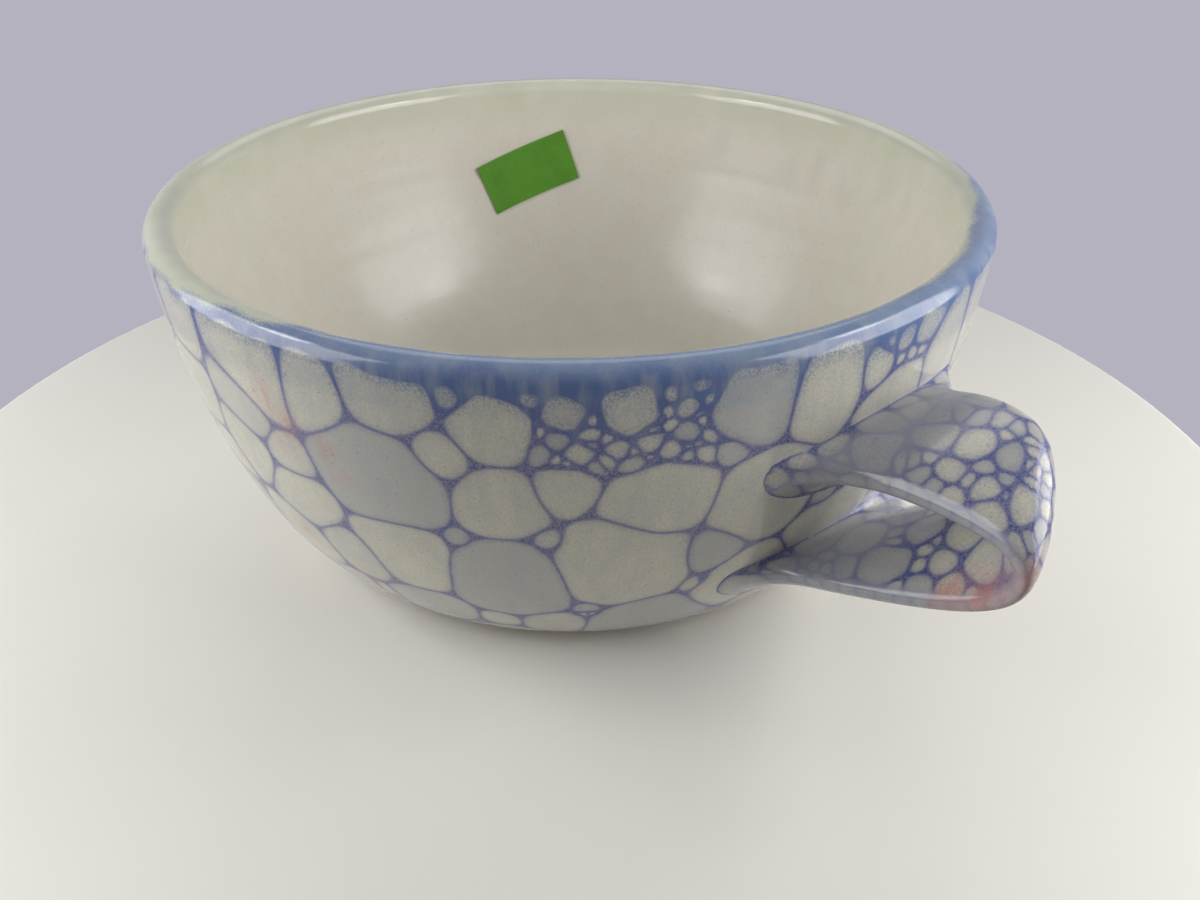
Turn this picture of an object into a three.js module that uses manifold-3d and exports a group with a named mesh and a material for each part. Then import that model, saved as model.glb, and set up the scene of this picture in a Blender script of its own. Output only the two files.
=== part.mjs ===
// Stoneware soup bowl with a pulled strap handle.
// Millimetres, +Z up, origin at the centre of the foot, handle along +X.
import * as THREE from "three";
import { mergeVertices } from "three/addons/utils/BufferGeometryUtils.js";
import Module from "manifold-3d";

// Thrown bowl, bare clay
const rimRadius = 79.4;
const bowlHeight = 69;
const wallThickness = 4.4;
const floorThickness = 7;
const footRadius = 54.6;
const footHeight = 2.2;
const footBevel = 0.8;
const floorRadius = 34;
const bellyRise = 24;
const bellyPull = 18;
const rimLean = 3;
const rimPull = 20;
const floorPull = 26;
const innerPull = 24;

// Glaze coats
const glazeThickness = 0.6;
const glazeGap = 0.15;
const bareMargin = 1.4;
const rimBandOutside = 5;
const rimBandInside = 4;

// Pulled strap handle, bare clay
const upperJointHeight = 47;
const upperRise = 25.5;
const upperPull = 9.2;
const lowerJointHeight = 19.5;
const lowerRise = 29.4;
const lowerPull = 21.5;
const handleReach = 30.4;
const noseHeight = 48.9;
const nosePullUp = 8.5;
const nosePullDown = 7.8;
const noseTwistOut = 5.6;
const noseTwistUp = 3.8;
const strapWidth = 29.4;
const strapWidthAtNose = 15.5;
const strapThickness = 7.8;
const strapThicknessBelow = 7.1;
const strapThicknessAtNose = 5.4;
const strapSquareness = 2.2;
const flareLength = 13;
const leanLength = 20;
const flareWidth = 5;
const upperFlareThickness = 0.6;
const lowerFlareThickness = 2.4;
const rootDepth = 8;
const handleSkew = -7.5;

// Slip between strap and wall
const slipThickness = 0.8;
const seatGap = 0.3;

// Paper label on the inside of the wall
const labelWidth = 25.5;
const labelHeight = 13;
const labelThickness = 0.2;
const labelGap = 0.4;
const labelAzimuth = 151;
const labelDrop = 19.5;
const labelTilt = 19;

// Facets
const turns = 48;
const ringPoints = 14;
const strapSteps = 28;

const wasm = await Module();
wasm.setup();
const radians = THREE.MathUtils.degToRad;

// Solids and boolean operations

function solidOf(geometry) {
  const bare = geometry.clone();
  bare.deleteAttribute("normal");
  bare.deleteAttribute("uv");
  const merged = mergeVertices(bare, 1e-4);
  const index = merged.index.array;
  const triVerts = [];
  for (let i = 0; i < index.length; i += 3) {
    const [a, b, c] = [index[i], index[i + 1], index[i + 2]];
    if (a !== b && b !== c && c !== a) triVerts.push(a, b, c);
  }
  return new wasm.Manifold(
    new wasm.Mesh({
      numProp: 3,
      vertProperties: merged.attributes.position.array,
      triVerts: new Uint32Array(triVerts),
    }),
  );
}

function geometryOf(solid) {
  const mesh = solid.getMesh();
  const geometry = new THREE.BufferGeometry();
  geometry.setAttribute("position", new THREE.BufferAttribute(mesh.vertProperties, 3));
  geometry.setIndex(new THREE.BufferAttribute(mesh.triVerts, 1));
  geometry.computeVertexNormals();
  return geometry;
}

// Bodies whose middle lies on the wanted side of a height
function piecesAbove(solid, height) {
  const kept = solid.decompose().filter((body) => {
    const box = body.boundingBox();
    return (box.min[2] + box.max[2]) / 2 > height;
  });
  return wasm.Manifold.union(kept);
}

function piecesBelow(solid, height) {
  const kept = solid.decompose().filter((body) => {
    const box = body.boundingBox();
    return (box.min[2] + box.max[2]) / 2 <= height;
  });
  return wasm.Manifold.union(kept);
}

function turned(points) {
  return new THREE.LatheGeometry(points, turns).rotateX(Math.PI / 2);
}

// Section of the bowl: one path from the foot, over the lip, to the middle of the floor

const lipRadius = wallThickness / 2;
const lipHeight = bowlHeight - lipRadius;
const innerRadius = rimRadius - wallThickness;

const outerWall = new THREE.CubicBezierCurve(
  new THREE.Vector2(footRadius, footHeight),
  new THREE.Vector2(
    footRadius + bellyPull * Math.cos(radians(bellyRise)),
    footHeight + bellyPull * Math.sin(radians(bellyRise)),
  ),
  new THREE.Vector2(
    rimRadius - rimPull * Math.sin(radians(rimLean)),
    lipHeight - rimPull * Math.cos(radians(rimLean)),
  ),
  new THREE.Vector2(rimRadius, lipHeight),
);
const lip = new THREE.EllipseCurve(rimRadius - lipRadius, lipHeight, lipRadius, lipRadius, 0, Math.PI);
const innerWall = new THREE.CubicBezierCurve(
  new THREE.Vector2(innerRadius, lipHeight),
  new THREE.Vector2(
    innerRadius - innerPull * Math.sin(radians(rimLean)),
    lipHeight - innerPull * Math.cos(radians(rimLean)),
  ),
  new THREE.Vector2(floorRadius + floorPull, floorThickness),
  new THREE.Vector2(floorRadius, floorThickness),
);
const floorLine = new THREE.LineCurve(
  new THREE.Vector2(floorRadius, floorThickness),
  new THREE.Vector2(0, floorThickness),
);
const section = new THREE.CurvePath();
section.arcLengthDivisions = 800;
for (const curve of [outerWall, lip, innerWall, floorLine]) section.add(curve);

const outerLength = outerWall.getLength();
const lipLength = lip.getLength();
const sectionLength = section.getLength();

// A point of the section at a length along it, moved off the clay by grow
function sectionPoint(length, grow = 0) {
  const u = THREE.MathUtils.clamp(length / sectionLength, 0, 1);
  const point = section.getPointAt(u);
  const tangent = section.getTangentAt(u);
  point.x = Math.max(0, point.x + tangent.y * grow);
  point.y -= tangent.x * grow;
  return point;
}

function lengths(from, to, steps) {
  return Array.from({ length: steps + 1 }, (_, i) => from + ((to - from) * i) / steps);
}

const outerStart = bareMargin;
const rimStart = outerLength - rimBandOutside;
const linerStart = outerLength + lipLength + rimBandInside;
const outerStops = lengths(outerStart, rimStart, 10);
const rimStops = lengths(rimStart, linerStart, 8);
const linerStops = [
  ...lengths(linerStart, sectionLength - floorRadius, 10),
  sectionLength - floorRadius / 2,
  sectionLength,
];

function bowlBody() {
  const foot = [
    new THREE.Vector2(0, 0),
    new THREE.Vector2(footRadius - footBevel, 0),
    new THREE.Vector2(footRadius, footBevel),
    new THREE.Vector2(footRadius, footHeight),
  ];
  const stops = [...outerStops, ...rimStops.slice(1), ...linerStops.slice(1)];
  return turned([...foot, ...stops.map((length) => sectionPoint(length))]);
}

// A coat of glaze over part of the section, ends pulled back so that two coats never touch
function coat(stops) {
  const trimmed = [...stops];
  trimmed[0] += glazeGap / 2;
  if (stops.at(-1) < sectionLength) trimmed[trimmed.length - 1] -= glazeGap / 2;
  const skin = trimmed.map((length) => sectionPoint(length, glazeGap + glazeThickness));
  const back = trimmed.map((length) => sectionPoint(length, glazeGap)).reverse();
  return turned([...skin, ...back, skin[0].clone()]);
}

// Everything inside the outer face of the wall, moved out by grow
function wallForm(grow) {
  const side = [0, ...outerStops, ...rimStops.filter((length) => length <= outerLength)];
  const points = side.map((length) => sectionPoint(length, grow));
  const top = points.at(-1);
  return solidOf(
    turned([
      new THREE.Vector2(0, -footHeight),
      new THREE.Vector2(points[0].x, -footHeight),
      ...points,
      new THREE.Vector2(top.x, bowlHeight + footHeight),
      new THREE.Vector2(0, bowlHeight + footHeight),
    ]),
  );
}

// Handle path in the XZ plane

function wallRadius(height) {
  const points = outerWall.getPoints(200);
  const above = points.findIndex((point) => point.y >= height);
  const [low, high] = [points[above - 1], points[above]];
  return THREE.MathUtils.mapLinear(height, low.y, high.y, low.x, high.x);
}

// Direction up the wall at a height
function wallSlope(height) {
  const step = 0.5;
  return new THREE.Vector3(
    wallRadius(height + step) - wallRadius(height - step), 0, 2 * step,
  ).normalize();
}

function along(point, degrees, distance) {
  const angle = radians(degrees);
  return point.clone().add(new THREE.Vector3(Math.cos(angle), 0, Math.sin(angle)).multiplyScalar(distance));
}

// Point inside the wall, straight behind a joint
function rootOf(joint) {
  const slope = wallSlope(joint.z);
  return joint.clone().add(new THREE.Vector3(-slope.z, 0, slope.x).multiplyScalar(rootDepth));
}

const upperJoint = new THREE.Vector3(wallRadius(upperJointHeight), 0, upperJointHeight);
const lowerJoint = new THREE.Vector3(wallRadius(lowerJointHeight), 0, lowerJointHeight);
const nose = new THREE.Vector3(upperJoint.x + handleReach, 0, noseHeight);

const strapPath = new THREE.CurvePath();
strapPath.arcLengthDivisions = 400;
strapPath.add(new THREE.LineCurve3(rootOf(upperJoint), upperJoint));
strapPath.add(
  new THREE.CubicBezierCurve3(
    upperJoint,
    along(upperJoint, upperRise, upperPull),
    along(nose, 90, nosePullUp),
    nose,
  ),
);
strapPath.add(
  new THREE.CubicBezierCurve3(
    nose,
    along(nose, -90, nosePullDown),
    along(lowerJoint, lowerRise, lowerPull),
    lowerJoint,
  ),
);
strapPath.add(new THREE.LineCurve3(lowerJoint, rootOf(lowerJoint)));
const strapLength = strapPath.getLength();
const noseLength = strapPath.getCurveLengths()[1];

// Closed solid swept along the strap path, its section grown by grow
function strapSolid(grow) {
  const positions = [];
  const index = [];
  for (let step = 0; step <= strapSteps; step++) {
    const u = step / strapSteps;
    const length = u * strapLength;
    const centre = strapPath.getPointAt(u);
    const tangent = strapPath.getTangentAt(u);
    const fromEnd = Math.min(length, strapLength - length) - rootDepth;
    const flare = THREE.MathUtils.clamp(1 - fromEnd / flareLength, 0, 1) ** 2;
    const upper = length < noseLength;
    const flat = upper ? wallSlope(upperJointHeight) : wallSlope(lowerJointHeight).negate();
    const lean = THREE.MathUtils.smoothstep(1 - fromEnd / leanLength, 0, 1);
    const out = new THREE.Vector3(-tangent.z, 0, tangent.x).lerp(flat, lean).normalize();
    const toNose = THREE.MathUtils.smoothstep(
      1 - Math.abs(length - noseLength) / (strapLength / 2), 0, 1,
    );
    const width = THREE.MathUtils.lerp(strapWidth, strapWidthAtNose, toNose) + 2 * flareWidth * flare;
    const swell = upper ? upperFlareThickness : lowerFlareThickness;
    const body = upper ? strapThickness : strapThicknessBelow;
    const thickness = THREE.MathUtils.lerp(body, strapThicknessAtNose, toNose) + 2 * swell * flare;
    for (let i = 0; i < ringPoints; i++) {
      const angle = (2 * Math.PI * i) / ringPoints;
      const [c, s] = [Math.cos(angle), Math.sin(angle)];
      const across = Math.sign(c) * Math.abs(c) ** (2 / strapSquareness) * (width / 2 + grow);
      const up = Math.sign(s) * Math.abs(s) ** (2 / strapSquareness) * (thickness / 2 + grow);
      const twist = (toNose * across) / (width / 2);
      positions.push(
        centre.x + out.x * up - noseTwistOut * twist,
        across,
        centre.z + out.z * up + noseTwistUp * twist,
      );
    }
  }
  const ringAt = (step, i) => step * ringPoints + (i % ringPoints);
  for (let step = 0; step < strapSteps; step++) {
    for (let i = 0; i < ringPoints; i++) {
      const [a, b] = [ringAt(step, i), ringAt(step, i + 1)];
      const [c, d] = [ringAt(step + 1, i), ringAt(step + 1, i + 1)];
      index.push(a, b, c, b, d, c);
    }
  }
  for (let i = 1; i < ringPoints - 1; i++) {
    index.push(ringAt(0, 0), ringAt(0, i + 1), ringAt(0, i));
    index.push(ringAt(strapSteps, 0), ringAt(strapSteps, i), ringAt(strapSteps, i + 1));
  }
  const geometry = new THREE.BufferGeometry();
  geometry.setAttribute("position", new THREE.Float32BufferAttribute(positions, 3));
  geometry.setIndex(index);
  geometry.translate(-upperJoint.x, 0, 0).rotateZ(radians(handleSkew)).translate(upperJoint.x, 0, 0);
  return solidOf(geometry);
}

const middleHeight = (upperJointHeight + lowerJointHeight) / 2;
const strapCore = strapSolid(0);
const padTop = seatGap + slipThickness;
const strapClay = strapCore.subtract(wallForm(padTop + seatGap));
const slipPads = strapCore.intersect(wallForm(padTop)).subtract(wallForm(seatGap));
const strapCoat = strapSolid(glazeGap + glazeThickness)
  .subtract(strapSolid(glazeGap))
  .subtract(wallForm(seatGap));
const outerCoat = solidOf(coat(outerStops)).subtract(
  strapSolid(glazeGap + glazeThickness + seatGap),
);

// Label that follows the inside of the wall

function paperLabel() {
  const [columns, rows] = [8, 4];
  const tilt = radians(labelTilt);
  const middle = outerLength + lipLength + labelDrop;
  const off = glazeGap + glazeThickness + labelGap;
  const positions = [];
  for (const grow of [off, off + labelThickness]) {
    for (let row = 0; row <= rows; row++) {
      for (let column = 0; column <= columns; column++) {
        const x = (column / columns - 0.5) * labelWidth;
        const y = (row / rows - 0.5) * labelHeight;
        const round = x * Math.cos(tilt) - y * Math.sin(tilt);
        const down = x * Math.sin(tilt) + y * Math.cos(tilt);
        const point = sectionPoint(middle + down, grow);
        const azimuth = radians(labelAzimuth) + round / innerRadius;
        positions.push(point.x * Math.cos(azimuth), point.x * Math.sin(azimuth), point.y);
      }
    }
  }
  const layer = (columns + 1) * (rows + 1);
  const at = (row, column) => row * (columns + 1) + column;
  const index = [];
  const quad = (a, b, c, d) => index.push(a, b, c, a, c, d);
  for (let row = 0; row < rows; row++) {
    for (let column = 0; column < columns; column++) {
      const corners = [
        at(row, column), at(row, column + 1), at(row + 1, column + 1), at(row + 1, column),
      ];
      quad(...corners.toReversed());
      quad(...corners.map((corner) => corner + layer));
    }
  }
  for (let column = 0; column < columns; column++) {
    const [a, b] = [at(0, column), at(0, column + 1)];
    const [c, d] = [at(rows, column), at(rows, column + 1)];
    quad(a, b, b + layer, a + layer);
    quad(d, c, c + layer, d + layer);
  }
  for (let row = 0; row < rows; row++) {
    const [a, b] = [at(row, 0), at(row + 1, 0)];
    const [c, d] = [at(row, columns), at(row + 1, columns)];
    quad(b, a, a + layer, b + layer);
    quad(c, d, d + layer, c + layer);
  }
  const geometry = new THREE.BufferGeometry();
  geometry.setAttribute("position", new THREE.Float32BufferAttribute(positions, 3));
  geometry.setIndex(index);
  geometry.computeVertexNormals();
  return geometry;
}

// Assembly

const clay = new THREE.MeshStandardMaterial({ name: "stoneware", color: 0x8a7a66, roughness: 0.85 });
const slip = new THREE.MeshStandardMaterial({ name: "slip", color: 0x9a8a74, roughness: 0.9 });
const cream = new THREE.MeshStandardMaterial({ name: "liner_glaze", color: 0xe4ded0, roughness: 0.2 });
const blue = new THREE.MeshStandardMaterial({ name: "rim_glaze", color: 0x7f86ad, roughness: 0.2 });
const bubble = new THREE.MeshStandardMaterial({ name: "bubble_glaze", color: 0xbdbdb4, roughness: 0.25 });
const paper = new THREE.MeshStandardMaterial({ name: "paper", color: 0x3fb54a, roughness: 0.8 });

const part = new THREE.Group();
part.name = "bowl_with_handle";
const bowl = new THREE.Group();
const handle = new THREE.Group();
part.add(bowl, handle);

function addPiece(group, name, geometry, material) {
  const mesh = new THREE.Mesh(geometry, material);
  mesh.name = name;
  group.add(mesh);
}

addPiece(bowl, "bowl_body", bowlBody(), clay);
addPiece(bowl, "liner_glaze", coat(linerStops), cream);
addPiece(bowl, "rim_glaze", coat(rimStops), blue);
addPiece(bowl, "outer_glaze", geometryOf(outerCoat), bubble);
addPiece(bowl, "paper_label", paperLabel(), paper);
addPiece(handle, "handle_strap", geometryOf(strapClay), clay);
addPiece(handle, "upper_joint_slip", geometryOf(piecesAbove(slipPads, middleHeight)), slip);
addPiece(handle, "lower_joint_slip", geometryOf(piecesBelow(slipPads, middleHeight)), slip);
addPiece(handle, "handle_glaze", geometryOf(strapCoat), bubble);

export default part;
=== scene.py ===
"""Clay, glazes, paper label and studio for a stoneware soup bowl with a strap handle."""

import math

import bpy
import numpy as np
from bpy.props import FloatProperty, FloatVectorProperty, IntProperty, PointerProperty
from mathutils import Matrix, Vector, noise


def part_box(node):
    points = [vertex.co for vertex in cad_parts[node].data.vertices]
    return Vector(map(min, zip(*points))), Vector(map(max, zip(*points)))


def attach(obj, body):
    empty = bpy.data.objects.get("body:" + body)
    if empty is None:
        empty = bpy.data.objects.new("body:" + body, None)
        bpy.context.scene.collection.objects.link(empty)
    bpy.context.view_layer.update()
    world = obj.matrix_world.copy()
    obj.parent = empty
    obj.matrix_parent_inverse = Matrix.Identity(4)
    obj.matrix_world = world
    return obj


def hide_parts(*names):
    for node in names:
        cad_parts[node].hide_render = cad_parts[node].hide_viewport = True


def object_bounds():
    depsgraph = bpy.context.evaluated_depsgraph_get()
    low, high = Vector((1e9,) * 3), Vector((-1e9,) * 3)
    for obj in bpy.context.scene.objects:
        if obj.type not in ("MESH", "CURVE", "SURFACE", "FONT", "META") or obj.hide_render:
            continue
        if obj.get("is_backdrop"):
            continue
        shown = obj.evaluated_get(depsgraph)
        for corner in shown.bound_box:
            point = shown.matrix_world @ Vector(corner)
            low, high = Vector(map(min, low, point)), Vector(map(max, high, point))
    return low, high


bl_info = {
    "name": "Bubble Glazed Soup Bowl",
    "version": (1, 0, 0),
    "blender": (4, 5, 0),
    "location": "View3D > Sidebar > Bowl",
    "description": "Dresses a packed stoneware bowl in clay, bubble glaze and a paper label",
    "category": "Object",
}

MM = 0.001
BODY = "root"

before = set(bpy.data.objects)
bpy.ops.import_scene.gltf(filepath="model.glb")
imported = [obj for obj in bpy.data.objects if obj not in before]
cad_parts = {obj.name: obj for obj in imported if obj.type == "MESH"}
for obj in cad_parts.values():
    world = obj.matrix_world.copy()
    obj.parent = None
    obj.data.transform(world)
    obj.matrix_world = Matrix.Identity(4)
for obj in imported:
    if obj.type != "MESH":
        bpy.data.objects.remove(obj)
cad_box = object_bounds()
clay_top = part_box("bowl_body")[1]


# Properties


def size(name, description, millimetres):
    return FloatProperty(
        name=name, description=description, default=millimetres * MM, unit="LENGTH", precision=5
    )


def turn(name, description, degrees):
    return FloatProperty(
        name=name, description=description, default=math.radians(degrees), subtype="ANGLE"
    )


def number(name, description, default):
    return FloatProperty(name=name, description=description, default=default)


def power(name, description, default):
    return FloatProperty(name=name, description=description, default=default, min=0, unit="POWER")


def linear(code):
    """Scene colour of an sRGB code such as d8d2bd."""
    shares = [int(code[i : i + 2], 16) / 255 for i in (0, 2, 4)]
    return tuple(s / 12.92 if s <= 0.04045 else ((s + 0.055) / 1.055) ** 2.4 for s in shares)


def colour(name, description, code):
    return FloatVectorProperty(
        name=name, description=description, default=linear(code), subtype="COLOR", min=0, max=1
    )


class BowlShape(bpy.types.PropertyGroup):
    """Section of the thrown bowl, bare clay."""

    rim_radius: size("Rim radius", "Outside radius at the lip", clay_top.x / MM)
    height: size("Height", "From the foot to the top of the lip", clay_top.z / MM)
    wall: size("Wall", "Thickness of the wall at the lip", 4.4)
    floor: size("Floor", "Thickness of the floor", 7)
    foot_radius: size("Foot radius", "Radius of the flat foot", 54.6)
    foot_height: size("Foot height", "Height of the turned edge of the foot", 2.2)
    foot_bevel: size("Foot bevel", "Bevel under the foot's edge", 0.8)
    floor_radius: size("Floor radius", "Radius of the flat part of the floor", 34)
    belly_rise: turn("Belly rise", "Angle at which the wall leaves the foot", 24)
    belly_pull: size("Belly pull", "Fullness of the wall above the foot", 18)
    rim_lean: turn("Rim lean", "Outward lean of the wall at the lip", 3)
    rim_pull: size("Rim pull", "Length over which the outside straightens to the lip", 20)
    inner_pull: size("Inner pull", "Length over which the inside straightens to the lip", 24)
    floor_pull: size("Floor pull", "Fullness of the inside above the floor", 26)


class HandleShape(bpy.types.PropertyGroup):
    """Pulled strap, bare clay."""

    upper_height: size("Upper joint", "Height of the upper joint on the wall", 47)
    upper_rise: turn("Upper rise", "Angle at which the strap leaves the wall", 25.5)
    upper_pull: size("Upper pull", "Length of the strap's straight start", 9.2)
    lower_height: size("Lower joint", "Height of the lower joint on the wall", 19.5)
    lower_rise: turn("Lower rise", "Angle at which the strap comes back", 29.4)
    lower_pull: size("Lower pull", "Length of the strap's straight end", 21.5)
    reach: size("Reach", "From the upper joint to the middle of the nose", 30.4)
    nose_height: size("Nose height", "Height of the nose", 48.9)
    nose_up: size("Nose pull up", "Roundness above the nose", 8.5)
    nose_down: size("Nose pull down", "Roundness below the nose", 7.8)
    twist_out: size("Twist out", "Inward shift of the nose's far edge, outward of its near edge", 5.6)
    twist_up: size("Twist up", "Lift of the nose's far edge, drop of its near edge", 3.8)
    width: size("Width", "Width of the strap near the wall", 29.4)
    nose_width: size("Nose width", "Width of the strap at the nose", 15.5)
    thickness: size("Thickness", "Thickness of the upper strap", 7.8)
    lower_thickness: size("Lower thickness", "Thickness of the lower strap", 7.1)
    nose_thickness: size("Nose thickness", "Thickness at the nose", 5.4)
    squareness: number("Squareness", "2 is an oval section, more is squarer", 2.2)
    flare_length: size("Flare length", "Length over which the ends widen", 13)
    lean_length: size("Lean length", "Length over which sections turn to face the wall", 20)
    flare_width: size("Flare width", "Widening of each side at the wall", 5)
    upper_flare: size("Upper flare", "Thickening of each face at the upper joint", 0.6)
    lower_flare: size("Lower flare", "Thickening of each face at the lower joint", 2.4)
    root: size("Root", "Depth of the strap's path behind the wall", 8)
    skew: turn("Skew", "Turn of the strap about its upper joint", -7.5)
    fillet: size("Fillet", "Spread of the smeared clay on the wall round each joint", 4.0)
    fillet_reach: size("Fillet reach", "Length of the smeared clay along the strap", 6.0)
    crease: number("Crease", "Share of the smear that is missing on top of a joint", 0.85)


class GlazeLook(bpy.types.PropertyGroup):
    """Coats of glaze and their bubbles."""

    gap: size("Coat gap", "From the clay to the back of a coat", 0.15)
    coat: size("Coat", "Thickness of a coat", 0.6)
    bare: size("Bare margin", "Bare wall above the foot", 1.4)
    bead: size("Bead", "Extra thickness of the rolled lower edge", 0.35)
    bead_length: size("Bead length", "Height of the rolled lower edge", 1.6)
    band_outside: size("Band outside", "Rim band below the lip, outside", 5)
    band_inside: size("Band inside", "Rim band below the lip, inside", 4)
    ripple: size("Throwing rings", "Height of the throwing rings", 0.09)
    ripple_step: size("Ring spacing", "Spacing of the throwing rings", 6)
    ripple_fade: size("Ring fade", "Length over which the rings fade at a coat's ends", 4)
    seed: IntProperty(name="Seed", description="Seed of the bubbles and their bends", default=11, min=1)
    line: size("Line", "Half width of a line between bubbles", 0.42)
    corner: number("Corner", "Rounding of a bubble's corners, as a share of its radius", 0.55)
    largest_corner: size("Largest corner", "Largest rounding of a corner", 2.2)
    bend: size("Bend", "Shift that bends the lines", 0.7)
    bend_span: size("Bend span", "Span of the bends", 10)
    cream: colour("Cream", "Glaze inside a bubble", "d0ccb9")
    grey: colour("Grey", "Glaze inside a thin bubble", "b2b2ad")
    blue: colour("Line blue", "Lines between bubbles", "50548c")
    rim_blue: colour("Rim blue", "Lines below the lip", "546d9c")
    # Also the colour of the painted shade on the strap's faces turned down and towards the bowl.
    wash: colour("Wash", "Smooth glaze on worn edges", "9a9ca6")
    rim_wash: colour("Rim wash", "Smooth glaze round the lip", "8497ae")
    blush: colour("Blush", "Red strokes under the glaze", "c47862")
    lip: colour("Lip", "Cream green glaze on the lip", "bdc1ac")
    lining: colour("Lining", "Glaze inside the bowl", "dcd8cc")
    clay: colour("Clay", "Fired bare clay", "8f7c66")
    slip: colour("Slip", "Fired joining slip", "a08e76")


class LabelShape(bpy.types.PropertyGroup):
    """Paper label stuck inside the wall."""

    width: size("Width", "Length of the label", 25.5)
    height: size("Height", "Height of the label", 13)
    paper: size("Paper", "Thickness of the label", 0.2)
    gap: size("Gap", "From the glaze to the back of the paper", 0.25)
    curl: size("Curl", "Lift of the loosest corner", 0.5)
    azimuth: turn("Azimuth", "Direction of the label from the axis", 151)
    drop: size("Drop", "From the lip down to the label's middle", 19.5)
    tilt: turn("Tilt", "Turn of the label on the wall", 19)
    paint: colour("Paper colour", "Colour of the paper", "4a8414")


class StageLook(bpy.types.PropertyGroup):
    """Floor, light and camera."""

    table_radius: size("Table", "Radius of the round white table", 151)
    table_height: size("Table height", "Thickness of the table", 18)
    white: colour("White", "Colour of the table", "e6e3dc")
    backdrop: colour("Backdrop", "Colour behind the table", "b4b2bf")
    ambient: number("Ambient", "Strength of the light from all round", 0.05)
    lamp_back: power("Back lamp", "Power of the lamp above and behind the bowl", 1.0)
    lamp_left: power("Left panel", "Power of the panel on the left", 1.35)
    lamp_right: power("Right panel", "Power of the panel on the right", 1.45)
    lamp_spot: power("Spots", "Power of the two small lamps that light the glaze's gloss", 0.06)
    lens: number("Lens", "Focal length on a 36 mm sensor", 31.92)
    camera_distance: size("Camera distance", "From the axis, over the floor", 204.9)
    camera_height: size("Camera height", "Above the floor", 137.4)
    camera_azimuth: turn("Camera azimuth", "Direction of the camera from the axis", -38.46)
    camera_pitch: turn("Camera pitch", "Turn of the camera up from looking straight down", 57.25)
    camera_yaw: turn("Camera yaw", "Turn of the camera about the upright", 50.03)


class BowlSettings(bpy.types.PropertyGroup):
    """All sizes and colours of the bowl."""

    bowl: PointerProperty(type=BowlShape)
    handle: PointerProperty(type=HandleShape)
    glaze: PointerProperty(type=GlazeLook)
    label: PointerProperty(type=LabelShape)
    stage: PointerProperty(type=StageLook)


def settings():
    return bpy.context.scene.soup_bowl


# Section of the bowl and path of the strap


def bezier(start, near_start, near_end, end, steps=240):
    t = np.linspace(0, 1, steps + 1)[:, None]
    a, b, c, d = (np.array(point, float) for point in (start, near_start, near_end, end))
    return (1 - t) ** 3 * a + 3 * (1 - t) ** 2 * t * b + 3 * (1 - t) * t**2 * c + t**3 * d


def along(point, direction, distance):
    return point[0] + distance * math.cos(direction), point[1] + distance * math.sin(direction)


def lengths_of(points):
    steps = np.linalg.norm(np.diff(points, axis=0), axis=1)
    return np.concatenate([[0], np.cumsum(steps)])


def smooth(low, high, value):
    t = np.clip((value - low) / (high - low), 0, 1)
    return t * t * (3 - 2 * t)


class Section:
    """The bowl's section as one line: outside wall, lip, inside wall, floor."""

    slope_step = 0.5 * MM

    def __init__(self, shape):
        down = -math.pi / 2 - shape.rim_lean
        lip_radius = shape.wall / 2
        foot = (shape.foot_radius, shape.foot_height)
        rim = (shape.rim_radius, shape.height - lip_radius)
        inside = (shape.rim_radius - shape.wall, rim[1])
        floor = (shape.floor_radius, shape.floor)
        outer_wall = bezier(
            foot,
            along(foot, shape.belly_rise, shape.belly_pull),
            along(rim, down, shape.rim_pull),
            rim,
        )
        arc = np.linspace(0, math.pi, 60)
        lip = np.column_stack([np.cos(arc), np.sin(arc)]) * lip_radius
        lip += (shape.rim_radius - lip_radius, rim[1])
        inner_wall = bezier(
            inside,
            along(inside, down, shape.inner_pull),
            along(floor, 0, shape.floor_pull),
            floor,
        )
        middle = np.array([[0, shape.floor]])
        self.points = np.concatenate([outer_wall, lip[1:], inner_wall[1:], middle])
        self.lengths = lengths_of(self.points)
        self.wall_end = self.lengths[len(outer_wall) - 1]
        self.lip_end = self.lengths[len(outer_wall) + len(lip) - 2]
        self.total = self.lengths[-1]
        tangents = np.gradient(self.points, self.lengths, axis=0)
        tangents /= np.linalg.norm(tangents, axis=1)[:, None]
        self.normals = np.column_stack([tangents[:, 1], -tangents[:, 0]])
        self.outer_wall = outer_wall

    def at(self, lengths, grow=0.0):
        """Radius and height at lengths along the section, moved off the clay by grow."""
        columns = []
        for axis in (0, 1):
            point = np.interp(lengths, self.lengths, self.points[:, axis])
            columns.append(point + grow * np.interp(lengths, self.lengths, self.normals[:, axis]))
        return np.column_stack([np.maximum(columns[0], 0), columns[1]])

    def wall_radius(self, height):
        return np.interp(height, self.outer_wall[:, 1], self.outer_wall[:, 0])

    def widening(self, height):
        """Growth of the wall's radius with height."""
        step = self.slope_step
        return (self.wall_radius(height + step) - self.wall_radius(height - step)) / (2 * step)

    def wall_slope(self, height):
        """Direction up the wall at a height, as (out, up)."""
        slope = np.array([self.widening(height), 1])
        return slope / np.linalg.norm(slope)

    def beside_wall(self, points):
        """Distance of points outside the clay wall, and directions square to it."""
        radius = np.hypot(points[..., 0], points[..., 1])
        height = np.clip(points[..., 2], self.outer_wall[0, 1], self.outer_wall[-1, 1])
        widening = self.widening(height)
        steepness = np.hypot(1, widening)
        outward = np.stack([points[..., 0] / radius, points[..., 1] / radius, -widening], axis=-1)
        return (radius - self.wall_radius(height)) / steepness, outward / steepness[..., None]


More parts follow.
